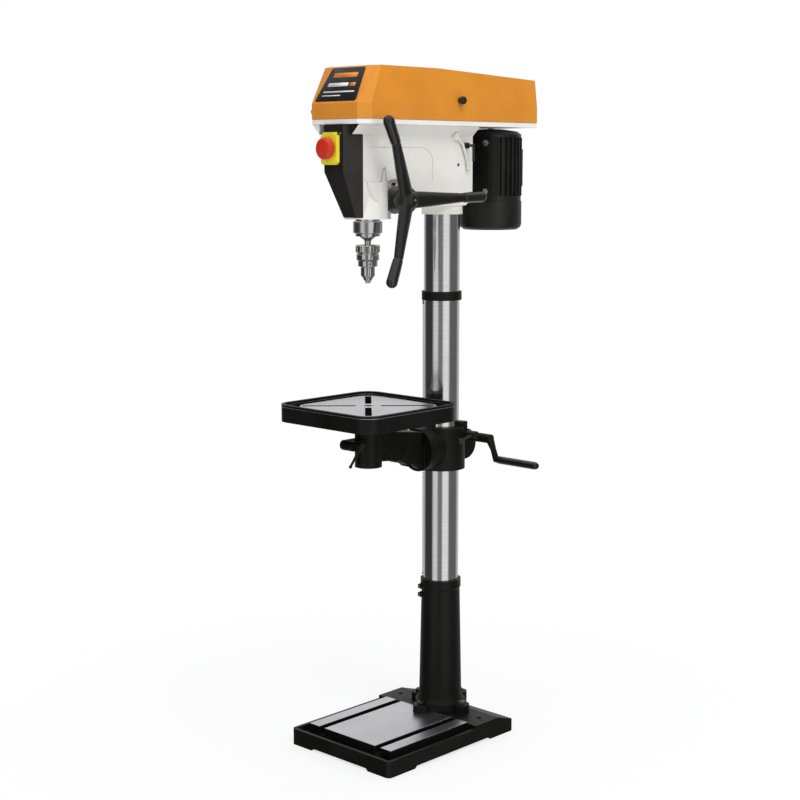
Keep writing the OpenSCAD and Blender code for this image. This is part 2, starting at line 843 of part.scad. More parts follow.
module table_arm() {
    arm_half = 27;
    color("#15150f")
    difference() {
        union() {
            bar_z(boss_r, boss_bottom, boss_top, 0, spindle_y);
            side_plate([
                [spindle_y, 838], [-88, 838], [-55, 818], [40, 806], [40, 716], [12, 726],
                [-52, 745], [spindle_y, 752]
            ], -arm_half, arm_half);
            bar_y(tilt_r, 46, tilt_face_y - gap, 0, elevation_z);
            // cast swellings along the underside
            bar_x(19, -arm_half - 2, arm_half + 2, -62, 763);
            bar_x(23, -arm_half - 2, arm_half + 2, -12, 752);
            bar_x(30, -arm_half - 2, arm_half + 2, 34, 742);
            block([-20, spindle_y - 72, clamp_z - 12], [20, spindle_y - 25, clamp_z + 12]);
            bar_x(12, -20, 20, spindle_y - 68, clamp_z);
        }
        bar_z(stem_r + fit, 700, 900, 0, spindle_y);
        // the boss is split and the lugs pull it shut
        block([-2, spindle_y - 90, 700], [2, spindle_y, 900]);
        bar_x(5 + fit, -40, 40, clamp_y, clamp_z);
        // pocket for the tilt nut
        block([-20, -20, elevation_z - 20], [20, 46, elevation_z + 20]);
        block([-14, -20, 700], [14, 30, elevation_z]);
        bar_y(8 + fit, 40, 70, 0, elevation_z);
    }
}

module table_lock_lever() {
    hub_x = 23;
    color("#2a2a28") {
        bar_x(5, -24, hub_x + 1, clamp_y, clamp_z);
        translate([-27, clamp_y, clamp_z]) rotate([0, 90, 0]) cylinder(r = 9, h = 6.5, $fn = 6);
        bar_x(9, hub_x - 2.5, hub_x + 13, clamp_y, clamp_z);
        rod([hub_x + 7, clamp_y, clamp_z], [hub_x + 7, clamp_y - 36, clamp_z - 46], 3.2);
        translate([hub_x + 7, clamp_y - 36, clamp_z - 46]) sphere(4.2);
    }
}

module work_table() {
    corner = 45;
    pad_w = 266;
    slot_from = 30;
    slot_to = 163;
    color("#15150f")
    translate([0, spindle_y, 0])
    difference() {
        union() {
            difference() {
                translate([0, 0, table_bottom]) linear_extrude(table_rim_h)
                    rounded_rect(table_w, table_w, corner);
                translate([0, 0, table_top - 16]) linear_extrude(30)
                    rounded_rect(table_w - 18, table_w - 18, corner - 9);
            }
            translate([0, 0, table_bottom + 10]) linear_extrude(table_pad_z - table_bottom - 10)
                rounded_rect(pad_w, pad_w, corner);
        }
        // underside, with crossed ribs and a round hub left standing
        difference() {
            translate([0, 0, table_bottom - 1]) linear_extrude(14)
                rounded_rect(table_w - 20, table_w - 20, corner - 10);
            for (a = [0, 90]) rotate(a) block([-5, -170, 0], [5, 170, 1000]);
            cylinder(r = 42, h = 1000);
        }
        for (a = [45:90:315]) rotate(a) {
            block([slot_from + table_slot_w / 2, -table_slot_w / 2, 0], [slot_to, table_slot_w / 2, 1000]);
            translate([slot_from + table_slot_w / 2, 0, 0]) cylinder(r = table_slot_w / 2 + 0.01, h = 1000);
        }
        cylinder(r = 11, h = 1000);
    }
    color("#15150f") tube_z(stem_r, 11, 745, table_bottom + 5, 0, spindle_y);
}

// ---------- quill, spindle and chuck ----------

module quill() {
    first = ceil((1384 - feed_z) / tooth_pitch);
    last = floor((quill_travel + 12) / tooth_pitch);
    color("#9a9c9c")
    difference() {
        bar_z(quill_r, quill_bottom, quill_top, 0, spindle_y);
        bar_z(16, quill_bottom + 1, quill_top + 1, 0, spindle_y);
        bar_z(21 + fit, quill_bottom + 2, quill_bottom + 16, 0, spindle_y);
        bar_z(21 + fit, quill_top - 16, quill_top + 1, 0, spindle_y);
        bar_z(10 + gap, quill_bottom - 1, quill_top, 0, spindle_y);
        for (i = [first:last])
            translate([15.8, spindle_y + quill_r, feed_z + i * tooth_pitch])
                rotate([0, -90, 0]) linear_extrude(31.6)
                    rotate(-90) rack_gap();
    }
}

module quill_bearings() {
    color("#c0c2c4") {
        tube_z(21, 10 + fit, quill_bottom + 2, quill_bottom + 16, 0, spindle_y);
        tube_z(21, 10 + fit, quill_top - 16, quill_top - 2, 0, spindle_y);
    }
}

module quill_collar() {
    color("#a8aaaa")
    translate([0, spindle_y, 0]) rotate_extrude() polygon([
        [quill_r + fit, 1315], [34, 1315], [36, 1317], [36, 1343], [34.5, 1345], [quill_r + fit, 1345]
    ]);
}

module spindle() {
    color("#b4b6b8")
    translate([0, spindle_y, 0]) rotate_extrude() polygon([
        [0, 1262], [7.8, 1262], [8, 1296], [11, 1299], [19, quill_bottom - 2.5],
        [19, quill_bottom - gap], [10, quill_bottom - gap], [10, quill_top + 3], [9, quill_top + 4],
        [9, 1671], [8, 1672], [0, 1672]
    ]);
}

module jaw_bar(angle, r, from, to) {
    translate([0, spindle_y, jaw_tip_z]) rotate(angle)
        translate([1.6, 0, 0]) rotate([0, jaw_lean, 0])
            translate([0, 0, from]) cylinder(r = r, h = to - from);
}

module chuck_body() {
    color("#c8cacc")
    difference() {
        translate([0, spindle_y, 0]) rotate_extrude() polygon([
            [0, 1200], [9.5, 1200], [12, 1205], [17.5, 1212], [17.5, 1232], [19, 1233.5], [24, 1235],
            [24, 1247], [23, 1248.7], [20, 1248.7], [20, 1287], [18, 1288], [0, 1288]
        ]);
        translate([0, spindle_y, 1261]) cylinder(r1 = 7.8 + fit, r2 = 8 + fit, h = 35);
        bar_z(6.6, 1190, 1250, 0, spindle_y);
        for (a = [30, 150, 270]) jaw_bar(a, jaw_r + fit, -10, 56);
        // holes for the chuck key's pilot
        for (a = [90, 210, 330])
            translate([0, spindle_y, 1241]) rotate(a) bar_x(3.2, 17, 30, 0, 0);
    }
}

module chuck_sleeve() {
    color("#d0d2d4")
    difference() {
        translate([0, spindle_y, 0]) rotate_extrude() polygon([
            [20 + fit, 1249], [26, 1249], [28, 1252], [28, 1263], [26.5, 1265], [26.5, 1267],
            [28, 1268], [30, 1270], [30, 1284], [28, 1287], [20 + fit, 1287]
        ]);
        // bevel teeth that the key turns
        for (a = [0:15:345])
            translate([0, spindle_y, 1248]) rotate(a) translate([22.5, -1.5, 0]) cube([8, 3, 5]);
        // grip flutes
        for (a = [0:20:340])
            translate([0, spindle_y, 0]) rotate(a) bar_z(2, 1269, 1285, 31, 0);
    }
}

module chuck_jaw(angle) {
    color("#8f9194")
    intersection() {
        jaw_bar(angle, jaw_r, 0, jaw_l);
        translate([0, spindle_y, 0]) rotate(angle)
            linear_extrude(1400) polygon([[0.3, 0], [20, 34.1], [20, -34.1]]);
    }
}

module chuck_jaw_1() {
    chuck_jaw(30);
}

module chuck_jaw_2() {
    chuck_jaw(150);
}

module chuck_jaw_3() {
    chuck_jaw(270);
}

// ---------- feed handle ----------

module feed_shaft() {
    teeth_half = 15;
    color("#7d7f82")
    translate([0, feed_y, feed_z]) rotate([90, 0, 90]) {
        translate([0, 0, -54]) cylinder(r = 15, h = 54 - teeth_half);
        translate([0, 0, teeth_half]) cylinder(r = 15, h = dish_x - teeth_half - gap);
        translate([0, 0, -teeth_half - 0.4]) linear_extrude(2 * teeth_half + 0.8)
            spur_outline(pinion_teeth, pinion_pitch_r, 180);
        translate([0, 0, -88]) cylinder(r = 10, h = 40);
        translate([0, 0, -101]) cylinder(r = 6, h = 20);
        translate([0, 0, 40]) cylinder(r = 10, h = 66);
    }
}

// Places its children on the first feed grip's axis, which leans outwards
module on_grip_axis() {
    translate([135, feed_arm_r, 0]) rotate([-90, 0, 0]) rotate([0, feed_grip_lean, 0]) children();
}

module feed_arm(angle) {
    translate([0, feed_y, feed_z]) rotate([angle, 0, 0]) {
        hull() {
            translate([97, 14, 0]) scale([0.62, 1, 1]) sphere(21, $fn = 32);
            on_grip_axis() translate([0, 0, -8]) cylinder(r = 11, h = 7.9, $fn = 32);
        }
        on_grip_axis() translate([0, 0, -8]) cylinder(r = 5, h = 50);
    }
}

module feed_hub() {
    color("#1a1a18")
    difference() {
        union() {
            translate([0, feed_y, feed_z]) rotate([90, 0, 90]) rotate_extrude() polygon([
                [0, dish_x + gap], [20, dish_x + gap], [20, 66], [26, 69], [30, 78], [33, 86], [33, 96],
                [26, 106], [19, 110], [17, 116], [11, 120], [4.5, 121.5], [4.5, 120], [0, 120]
            ]);
            for (a = feed_angles) feed_arm(a);
        }
        bar_x(10 + fit, 30, 106 + gap, feed_y, feed_z);
    }
}

module feed_grips() {
    color("#141412")
    for (a = feed_angles)
        translate([0, feed_y, feed_z]) rotate([a, 0, 0]) on_grip_axis()
            difference() {
                rotate_extrude() polygon(concat(
                    [[0, 0], [11.5, 0], [12.5, 3], [13.2, 20]],
                    arc([0, feed_grip_l - 14], 14, 0, 90, 8)
                ));
                translate([0, 0, -1]) cylinder(r = 5 + fit, h = 44);
            }
}

module depth_ring() {
    color("#b8bab8")
    difference() {
        bar_x(34, dish_x + gap, 54, feed_y, feed_z);
        bar_x(20 + fit, 40, 60, feed_y, feed_z);
        for (a = [0:15:345])
            translate([0, feed_y, feed_z]) rotate([a, 0, 0]) block([48, -0.4, 33.4], [60, 0.4, 36]);
        bar_z(3 + fit, feed_z + 10, feed_z + 60, 49, feed_y);
    }
}

module depth_lock_screw() {
    color("#1c1c1a") {
        bar_z(3, feed_z + 20.2, feed_z + 36, 49, feed_y);
        difference() {
            bar_z(5, feed_z + 35, feed_z + 41.5, 49, feed_y);
            for (a = [0:45:315])
                translate([49, feed_y, 0]) rotate(a) bar_z(1, feed_z + 34, feed_z + 44, 5.6, 0);
        }
    }
}

// ---------- motor ----------

module motor_housing() {
    fins = 32;
    body_r = 74;
    color("#1e1e1a")
    difference() {
        union() {
            translate([0, motor_y, 1400]) linear_extrude(150) {
                circle(body_r);
                for (i = [0:fins - 1])
                    rotate((i + 0.5) * 360 / fins) translate([60, -1.5]) square([motor_fin_r - 60, 3]);
            }
            translate([0, motor_y, 0]) rotate_extrude() polygon([
                [0, 1550], [80, 1550], [80, 1558], [70, 1566], [30, 1572], [0, 1572]
            ]);
            bar_z(80, 1386, 1400, 0, motor_y);
            block([-80, 244, 1400], [80, 272, 1548]);
            block([-34, 395, 1420], [34, 408, 1525]);
        }
        bar_z(46, 1400, 1550, 0, motor_y);
        bar_z(7 + fit, 1380, 1580, 0, motor_y);
        for (x = [-1, 1], z = [1412, 1535])
            bar_y(5 + fit, 240, 264, x * 70, z);
    }
}

module motor_fan_cover() {
    color("#1a1a17")
    difference() {
        translate([0, motor_y, 0]) rotate_extrude() polygon([
            [0, 1312], [70, 1312], [79, 1318], [82, 1326], [82, 1385.9], [79.5, 1385.9], [79.5, 1327],
            [77, 1320], [69, 1315], [0, 1315]
        ]);
        for (r = [20, 32, 44, 56], a = [0:30:330])
            translate([0, motor_y, 0]) rotate(a + r) bar_z(3.2, 1300, 1320, r, 0);
    }
}

module motor_rotor() {
    color("#9a9a98")
    translate([0, motor_y, 0]) {
        difference() {
            bar_z(7, 1330, 1655, 0, 0);
            bar_z(2, 1640, 1660, 0, 0);
        }
        tube_z(45, 6.9, 1412, 1540, 0, 0);
        difference() {
            bar_z(20, 1350, 1374, 0, 0);
            bar_z(6.9, 1340, 1380, 0, 0);
        }
        for (a = [0:45:315])
            rotate(a) block([18, -1.2, 1348], [66, 1.2, 1374]);
    }
}

module motor_mount() {
    color("#1a1a17")
    difference() {
        union() {
            block([-80, 232, 1398], [80, 244, 1562]);
            for (x = [-1, 1]) bar_y(8, 98, 233, x * rod_x, rod_z);
        }
        for (x = [-1, 1], z = [1412, 1535])
            bar_y(5.5, 230, 250, x * 70, z);
    }
}

module motor_bolts() {
    color("#c4c4c0")
    for (x = [-1, 1], z = [1412, 1535])
        translate([x * 70, 262, z]) rotate([90, 0, 0]) hex_bolt(5, 30, 8.7, 6.5);
}

module capacitor_box() {
    color("#1a1a17")
    difference() {
        block([-32, 408, 1424], [32, 424, 1521]);
        bar_z(motor_fin_r + gap, 1400, 1550, 0, motor_y);
    }
}

module tension_lever() {
    x = 62;
    bends = [[x, 124, 1550], [x, 149, 1531], [x, 163, 1500], [x, 171, 1471]];
    color("#dcdad4") {
        bar_x(6, 46, x, 124, 1550);
        bar_x(10, head_half_w + gap, 66, 124, 1550);
        for (i = [0:2]) rod(bends[i], bends[i + 1], 3.2);
        for (i = [1, 2]) translate(bends[i]) sphere(3.9);
        translate(bends[3]) sphere(6.5);
    }
}

module motor_lock_handle() {
    x = 84;
    color("#1a1a18") {
        bar_x(5, 46.5, 60, 165, rod_z);
        bar_x(7.5, head_half_w + gap, 66, 165, rod_z);
        bar_x(3.4, 60, x, 165, rod_z);
        translate([x, 165, rod_z]) sphere(3.4);
        rod([x, 165, rod_z], [x, 165, rod_z - 36], 3.4);
        translate([x, 165, rod_z - 36]) sphere(4.2);
    }
}

// ---------- selection ----------

base_casting();
column_support();
flange_bolts();
column_set_screws();
column();
rack_collar();
head_casting();
front_panel();
belt_guard_pan();
cover_hinge_pins();
spring_housing();
spring_nuts();
return_spring();
switch_base();
cable_gland();
idler_post();
spindle_belt();
motor_belt();
table_rack();
table_bracket();
tilt_bolt();
bracket_lock_lever();
table_crank();
worm_shaft();
crank_grip();
elevation_gear();
table_arm();
work_table();
table_lock_lever();
quill();
quill_bearings();
quill_collar();
spindle();
chuck_body();
chuck_sleeve();
chuck_jaw_1();
chuck_jaw_2();
chuck_jaw_3();
feed_shaft();
feed_hub();
feed_grips();
depth_ring();
depth_lock_screw();
spindle_pulley();
idler_pulley();
motor_pulley();
motor_housing();
motor_fan_cover();
motor_mount();
motor_bolts();
capacitor_box();
motor_rotor();
tension_lever();
motor_lock_handle();
belt_cover();
cover_knob();
switch_flap();
stop_mushroom();
start_button();
stop_button();
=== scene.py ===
"""Floor-standing drill press: finishes, label, screws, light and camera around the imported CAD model."""
import json
import math

import bmesh
import bpy
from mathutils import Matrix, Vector


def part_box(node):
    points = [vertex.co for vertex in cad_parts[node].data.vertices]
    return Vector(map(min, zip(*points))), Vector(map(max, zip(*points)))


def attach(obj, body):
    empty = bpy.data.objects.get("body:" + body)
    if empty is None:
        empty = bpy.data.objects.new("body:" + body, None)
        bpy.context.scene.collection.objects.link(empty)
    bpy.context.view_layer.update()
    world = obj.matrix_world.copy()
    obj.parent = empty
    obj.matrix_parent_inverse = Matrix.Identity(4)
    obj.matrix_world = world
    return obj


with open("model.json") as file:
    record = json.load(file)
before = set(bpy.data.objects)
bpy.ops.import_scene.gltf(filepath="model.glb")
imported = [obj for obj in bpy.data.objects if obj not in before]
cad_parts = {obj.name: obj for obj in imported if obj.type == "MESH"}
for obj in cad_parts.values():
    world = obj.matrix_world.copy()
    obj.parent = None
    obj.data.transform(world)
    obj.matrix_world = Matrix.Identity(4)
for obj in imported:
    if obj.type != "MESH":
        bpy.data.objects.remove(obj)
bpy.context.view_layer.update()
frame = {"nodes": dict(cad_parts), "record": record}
NODES = frame["nodes"]
BODY_OF = {
    node: body
    for body, members in frame["record"]["behaviour"]["bodies"].items()
    for node in members
}
MM = 0.001


# ---------- camera, light and floor ----------

VIEW_FROM = Vector((2.7372, -2.8802, 1.4813))
VIEW_ALONG = Vector((-0.68324, 0.71522, -0.14712))
LENS = 71.31
SENSOR = 36
LAMPS_AIM = Vector((0, 0, 0.95))

# brightness of the studio's walls by azimuth in degrees, measured from the camera's side
WALL_BANDS = [
    (-180, 0.95), (-140, 0.55), (-122, 0.06), (-62, 0.05), (-53, 0.85), (-28, 0.95), (-20, 0.26),
    (4, 0.24), (10, 1.10), (44, 1.10), (54, 0.17), (112, 0.17), (128, 0.62), (180, 0.95),
]
SKY = (0.95, 0.96, 1.0)
SKY_FROM, SKY_TO = 0.35, 0.85
STUDIO_STRENGTH = 0.8

FLOOR_RADIUS = 60
FLOOR_DROP = 0.2 * MM
# the floor's share of plain white: the least, and the distances over which it rises to the whole
WHITE_LEAST = 0.74
WHITE_FROM, WHITE_TO = 0.35, 1.4


def make_camera():
    data = bpy.data.cameras.new("camera")
    data.lens = LENS
    data.sensor_width = SENSOR
    data.clip_end = 200
    camera = bpy.data.objects.new("camera", data)
    camera.location = VIEW_FROM
    camera.rotation_euler = VIEW_ALONG.to_track_quat("-Z", "Y").to_euler()
    bpy.context.scene.collection.objects.link(camera)
    bpy.context.scene.camera = camera


def make_lamp(name, azimuth, elevation, distance, width, height, power):
    """A softbox aimed at the middle of the machine; azimuth is measured from the camera's side."""
    turn = math.atan2(VIEW_FROM.y, VIEW_FROM.x) + math.radians(azimuth)
    up = math.radians(elevation)
    way = Vector((math.cos(turn) * math.cos(up), math.sin(turn) * math.cos(up), math.sin(up)))
    data = bpy.data.lights.new(name, "AREA")
    data.shape = "RECTANGLE"
    data.size = width
    data.size_y = height
    data.energy = power
    lamp = bpy.data.objects.new(name, data)
    lamp.location = LAMPS_AIM + way * distance
    lamp.rotation_euler = (-way).to_track_quat("-Z", "Y").to_euler()
    lamp.visible_glossy = False
    bpy.context.scene.collection.objects.link(lamp)


def make_world():
    """Soft studio surroundings: tall bright boxes and dark gaps, which polished steel reflects as bands."""
    world = bpy.data.worlds.new("studio")
    world.use_nodes = True
    bpy.context.scene.world = world
    tree = world.node_tree
    tree.nodes.clear()
    add = tree.nodes.new
    link = tree.links.new
    out = add("ShaderNodeOutputWorld")
    place = add("ShaderNodeTexCoord")
    parts = add("ShaderNodeSeparateXYZ")
    link(place.outputs["Generated"], parts.inputs[0])
    turn = add("ShaderNodeMath")
    turn.operation = "ARCTAN2"
    link(parts.outputs["Y"], turn.inputs[0])
    link(parts.outputs["X"], turn.inputs[1])
    centred = add("ShaderNodeMath")
    centred.operation = "SUBTRACT"
    link(turn.outputs[0], centred.inputs[0])
    centred.inputs[1].default_value = math.atan2(VIEW_FROM.y, VIEW_FROM.x)
    wrapped = add("ShaderNodeMath")
    wrapped.operation = "WRAP"
    link(centred.outputs[0], wrapped.inputs[0])
    wrapped.inputs[1].default_value = math.pi
    wrapped.inputs[2].default_value = -math.pi
    share = add("ShaderNodeMapRange")
    link(wrapped.outputs[0], share.inputs["Value"])
    share.inputs["From Min"].default_value = -math.pi
    share.inputs["From Max"].default_value = math.pi
    walls = add("ShaderNodeValToRGB")
    link(share.outputs["Result"], walls.inputs["Fac"])
    ramp = walls.color_ramp
    ramp.elements[0].position = 0
    ramp.elements[1].position = 1
    for degrees, _ in WALL_BANDS[1:-1]:
        ramp.elements.new((degrees + 180) / 360)
    for element, (_, level) in zip(ramp.elements, WALL_BANDS):
        element.color = (level, level, level * 1.005, 1)
    height = add("ShaderNodeMapRange")
    height.interpolation_type = "SMOOTHSTEP"
    link(parts.outputs["Z"], height.inputs["Value"])
    height.inputs["From Min"].default_value = SKY_FROM
    height.inputs["From Max"].default_value = SKY_TO
    sky = add("ShaderNodeMix")
    sky.data_type = "RGBA"
    link(height.outputs["Result"], sky.inputs[0])
    link(walls.outputs["Color"], sky.inputs[6])
    sky.inputs[7].default_value = (*SKY, 1)
    around = add("ShaderNodeBackground")
    link(sky.outputs[2], around.inputs["Color"])
    around.inputs["Strength"].default_value = STUDIO_STRENGTH
    plain = add("ShaderNodeBackground")
    plain.inputs["Color"].default_value = (1, 1, 1, 1)
    rays = add("ShaderNodeLightPath")
    choose = add("ShaderNodeMixShader")
    link(rays.outputs["Is Camera Ray"], choose.inputs["Fac"])
    link(around.outputs[0], choose.inputs[1])
    link(plain.outputs[0], choose.inputs[2])
    link(choose.outputs[0], out.inputs["Surface"])


def make_floor():
    """A pale floor that turns into the white of the room away from the machine, so that no horizon shows."""
    mesh = bpy.data.meshes.new("floor")
    form = bmesh.new()
    bmesh.ops.create_circle(form, cap_ends=True, radius=FLOOR_RADIUS, segments=96)
    form.to_mesh(mesh)
    form.free()
    floor = bpy.data.objects.new("floor", mesh)
    floor.location.z = -FLOOR_DROP
    floor.visible_glossy = False
    bpy.context.scene.collection.objects.link(floor)
    material = bpy.data.materials.new("floor")
    material.use_nodes = True
    tree = material.node_tree
    add = tree.nodes.new
    link = tree.links.new
    surface = tree.nodes["Principled BSDF"]
    surface.inputs["Base Color"].default_value = (0.96, 0.96, 0.96, 1)
    surface.inputs["Roughness"].default_value = 0.55
    surface.inputs["Specular IOR Level"].default_value = 0.25
    place = add("ShaderNodeTexCoord")
    away = add("ShaderNodeVectorMath")
    away.operation = "LENGTH"
    link(place.outputs["Object"], away.inputs[0])
    far = add("ShaderNodeMapRange")
    far.interpolation_type = "SMOOTHSTEP"
    link(away.outputs["Value"], far.inputs["Value"])
    far.inputs["From Min"].default_value = WHITE_FROM
    far.inputs["From Max"].default_value = WHITE_TO
    far.inputs["To Min"].default_value = WHITE_LEAST
    white = add("ShaderNodeEmission")
    white.inputs["Color"].default_value = (1, 1, 1, 1)
    mixed = add("ShaderNodeMixShader")
    link(far.outputs["Result"], mixed.inputs["Fac"])
    link(surface.outputs[0], mixed.inputs[1])
    link(white.outputs[0], mixed.inputs[2])
    link(mixed.outputs[0], tree.nodes["Material Output"].inputs["Surface"])
    mesh.materials.append(material)


make_camera()
make_world()
make_floor()
make_lamp("key", 28, 42, 4.2, 1.8, 2.2, 60)
make_lamp("fill", -48, 24, 4.5, 1.6, 2.4, 14)
make_lamp("top", 10, 80, 3.6, 2.6, 2.6, 34)
make_lamp("back", 150, 35, 4.0, 1.4, 2.2, 20)
bpy.context.scene.view_settings.view_transform = "Standard"


# ---------- finishes ----------

# a paint's main tone, the tone of its mottle, and the tone that its edges take: rubbed wear, but on the
# orange a painted highlight
BLACK_IRON = ((0.0042, 0.0042, 0.0034), (0.0075, 0.0073, 0.0062), (0.045, 0.043, 0.040))
BLACK_MOTOR = ((0.007, 0.007, 0.006), (0.011, 0.011, 0.0095), BLACK_IRON[2])
BLACK_GLOSS = ((0.006, 0.006, 0.0055), (0.011, 0.011, 0.010), (0.06, 0.06, 0.058))
BLACK_LEVER = ((0.009, 0.009, 0.008), (0.014, 0.014, 0.013), (0.10, 0.10, 0.10))
# the orange's third tone is a lighter, lit orange: a painted highlight along the cover's edges
ORANGE = ((0.70, 0.262, 0.022), (0.64, 0.23, 0.018), (0.86, 0.42, 0.09))
WHITE = ((0.84, 0.83, 0.79), (0.78, 0.765, 0.72), (0.62, 0.60, 0.55))
WHITE_LEVER = ((0.80, 0.79, 0.75), (0.70, 0.69, 0.66), (0.5, 0.5, 0.5))
# the dark panel's plastic has no rubbed tone
PANEL = ((0.012, 0.0095, 0.0085), (0.016, 0.013, 0.012))
# milled iron: its two tones over a broad sweep, and the tone of the cutter's marks
SILVER = ((0.72, 0.72, 0.73), (0.60, 0.60, 0.61), (0.64, 0.64, 0.65))
CAST_DEPTH = 0.6 * MM
# how far the dark front of the flare's lug reaches back from the panel's front face
LUG_SETBACK = 7.5 * MM
TABLE_RIM_ABOVE_PAD = 6 * MM


class Finish:
    """A Principled material whose colour, roughness and normal come from patterns fixed to the machine."""

    def __init__(self, name, metallic=0.0, specular=0.5, coat=0.0, coat_rough=0.1):
        self.material = bpy.data.materials.new(name)
        self.material.use_nodes = True
        self.tree = self.material.node_tree
        self.surface = self.tree.nodes["Principled BSDF"]
        self.surface.inputs["Metallic"].default_value = metallic
        self.surface.inputs["Specular IOR Level"].default_value = specular
        self.surface.inputs["Coat Weight"].default_value = coat
        self.surface.inputs["Coat Roughness"].default_value = coat_rough
        self.places = self.add("ShaderNodeTexCoord")
        self.place = self.places.outputs["Object"]

    def add(self, kind, **values):
        node = self.tree.nodes.new(kind)
        for key, value in values.items():
            setattr(node, key, value)
        return node

    def join(self, value, socket):
        if isinstance(value, bpy.types.NodeSocket):
            self.tree.links.new(value, socket)
        else:
            socket.default_value = value

    def math(self, kind, a, b=0.0):
        node = self.add("ShaderNodeMath", operation=kind)
        self.join(a, node.inputs[0])
        self.join(b, node.inputs[1])
        return node.outputs[0]

    def span(self, value, low, high, to_low=0.0, to_high=1.0):
        node = self.add("ShaderNodeMapRange")
        self.join(value, node.inputs["Value"])
        node.inputs["From Min"].default_value = low
        node.inputs["From Max"].default_value = high
        node.inputs["To Min"].default_value = to_low
        node.inputs["To Max"].default_value = to_high
        return node.outputs["Result"]

    def blend(self, share, a, b):
        node = self.add("ShaderNodeMix", data_type="RGBA")
        self.join(share, node.inputs[0])
        for value, socket in ((a, node.inputs[6]), (b, node.inputs[7])):
            self.join((*value, 1) if isinstance(value, tuple) else value, socket)
        return node.outputs[2]

    def level(self, share, a, b):
        node = self.add("ShaderNodeMix", data_type="FLOAT")
        for value, socket in ((share, 0), (a, 2), (b, 3)):
            self.join(value, node.inputs[socket])
        return node.outputs[0]

    def noise(self, scale, detail=3.0, stretch=(1, 1, 1)):
        node = self.add("ShaderNodeTexNoise")
        place = self.place
        if stretch != (1, 1, 1):
            squeeze = self.add("ShaderNodeMapping")
            squeeze.inputs["Scale"].default_value = stretch
            self.join(place, squeeze.inputs["Vector"])
            place = squeeze.outputs[0]
        self.join(place, node.inputs["Vector"])
        node.inputs["Scale"].default_value = scale
        node.inputs["Detail"].default_value = detail
        return node.outputs[0]

    def cells(self, scale):
        node = self.add("ShaderNodeTexVoronoi")
        self.join(self.place, node.inputs["Vector"])
        node.inputs["Scale"].default_value = scale
        return node.outputs["Distance"]

    def axis(self, source, letter):
        node = self.add("ShaderNodeSeparateXYZ")
        self.join(self.places.outputs[source], node.inputs[0])
        return node.outputs[letter]

    def rounded(self, radius):
        """The normal of a surface with its edges eased, and how strongly each point is an edge."""
        node = self.add("ShaderNodeBevel", samples=4)
        node.inputs["Radius"].default_value = radius
        true = self.add("ShaderNodeNewGeometry")
        meet = self.add("ShaderNodeVectorMath", operation="DOT_PRODUCT")
        self.join(node.outputs[0], meet.inputs[0])
        self.join(true.outputs["Normal"], meet.inputs[1])
        return node.outputs[0], self.span(meet.outputs["Value"], 0.985, 0.86)

    def relief(self, height, strength, depth, normal=None):
        node = self.add("ShaderNodeBump")
        node.inputs["Strength"].default_value = strength
        node.inputs["Distance"].default_value = depth
        self.join(height, node.inputs["Height"])
        if normal is not None:
            self.join(normal, node.inputs["Normal"])
        return node.outputs[0]

    def show(self, colour, rough, normal):
        self.join(colour, self.surface.inputs["Base Color"])
        self.join(rough, self.surface.inputs["Roughness"])
        self.join(normal, self.surface.inputs["Normal"])
        return self.material


def paint(name, colour, shade, edge_tone, rough=0.4, peel=0.25, grain=420, ease=0.0015, edge_mix=0.5, **base):
    """Sprayed or powder paint: a slight mottle, orange peel, and lighter edges, scuffed on most paints and a
    painted highlight on the orange cover.
    """
    f = Finish(name, **base)
    edge_normal, edge = f.rounded(ease)
    mottle = f.span(f.noise(11, 5), 0.35, 0.7)
    body = f.blend(mottle, colour, shade)
    # edges take the edge tone: rubbed wear on most paints, a painted highlight on the orange cover
    edge_patches = f.math("MULTIPLY", edge, f.span(f.noise(75, 4), 0.46, 0.62, 0.1, 1.0))
    colours = f.blend(f.math("MULTIPLY", edge_patches, edge_mix), body, edge_tone)
    smudge = f.span(f.noise(5.5, 6), 0.3, 0.75, rough - 0.06, rough + 0.1)
    peel_normal = f.relief(f.noise(grain, 2), peel, 0.0004, edge_normal)
    return f.show(colours, smudge, peel_normal)


def cast_surface(f, colour, shade, edge_tone):
    """Paint over sand-cast iron: its eased normal, colours with scuffed edges, mottle and the height of its
    grain.
    """
    edge_normal, edge = f.rounded(0.002)
    mottle = f.span(f.noise(14, 6), 0.3, 0.7)
    edge_patches = f.math("MULTIPLY", edge, f.span(f.noise(60, 5), 0.45, 0.62, 0.1, 0.8))
    colours = f.blend(edge_patches, f.blend(mottle, colour, shade), edge_tone)
    grain = f.math("ADD", f.noise(260, 4), f.math("MULTIPLY", f.noise(48, 3), 0.9))
    return edge_normal, colours, mottle, grain


def smudges(f, smoothest, roughest):
    """A roughness that drifts between two values, as handled paint does."""
    return f.span(f.noise(7, 5), 0.3, 0.75, smoothest, roughest)


def casting(name, colour, shade, edge_tone, rough=0.45, pits=0.5, **base):
    """Painted iron: sand-cast grain under the paint, dull hollows, and edges scuffed to a lighter tone."""
    f = Finish(name, **base)
    edge_normal, colours, _, grain = cast_surface(f, colour, shade, edge_tone)
    return f.show(
        colours, smudges(f, rough - 0.08, rough + 0.12), f.relief(grain, pits, CAST_DEPTH, edge_normal)
    )


